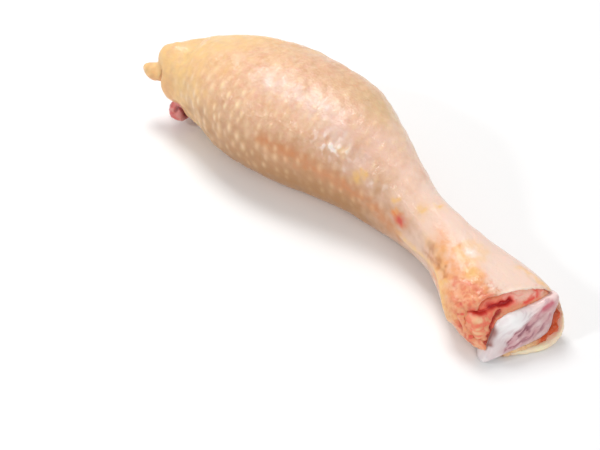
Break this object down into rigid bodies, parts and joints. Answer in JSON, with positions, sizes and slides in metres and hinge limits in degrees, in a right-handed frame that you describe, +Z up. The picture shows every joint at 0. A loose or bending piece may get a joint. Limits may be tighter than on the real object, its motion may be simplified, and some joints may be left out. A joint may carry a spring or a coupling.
{
  "type": "raw chicken leg quarter",
  "caption": "Raw chicken thigh and drumstick in one piece, skin on, lying on its inner side with the hip cut at one end and the hock cut at the other.",
  "frame": {"origin": "on the table, under the middle of the whole leg's bounding box", "axes": "+X along the leg from the hip cut to the hock cut, +Y to the back of the thigh, +Z up, out of the skin side"},
  "size_m": [0.242, 0.0744, 0.0513],
  "materials": {
    "chicken_skin": "wet, pale peach, creamy yellow over the fat at the hip, with raised follicles over the thigh and calf",
    "raw_meat": "wet red muscle",
    "ball_cartilage": "wet, pearly white",
    "joint_cartilage": "wet, bluish white, with pink in the groove"
  },
  "bodies": {
    "root": {"skin": "chicken_skin", "meat": "raw_meat", "femur_head": "ball_cartilage", "hock_cartilage": "joint_cartilage"}
  },
  "joints": []
}
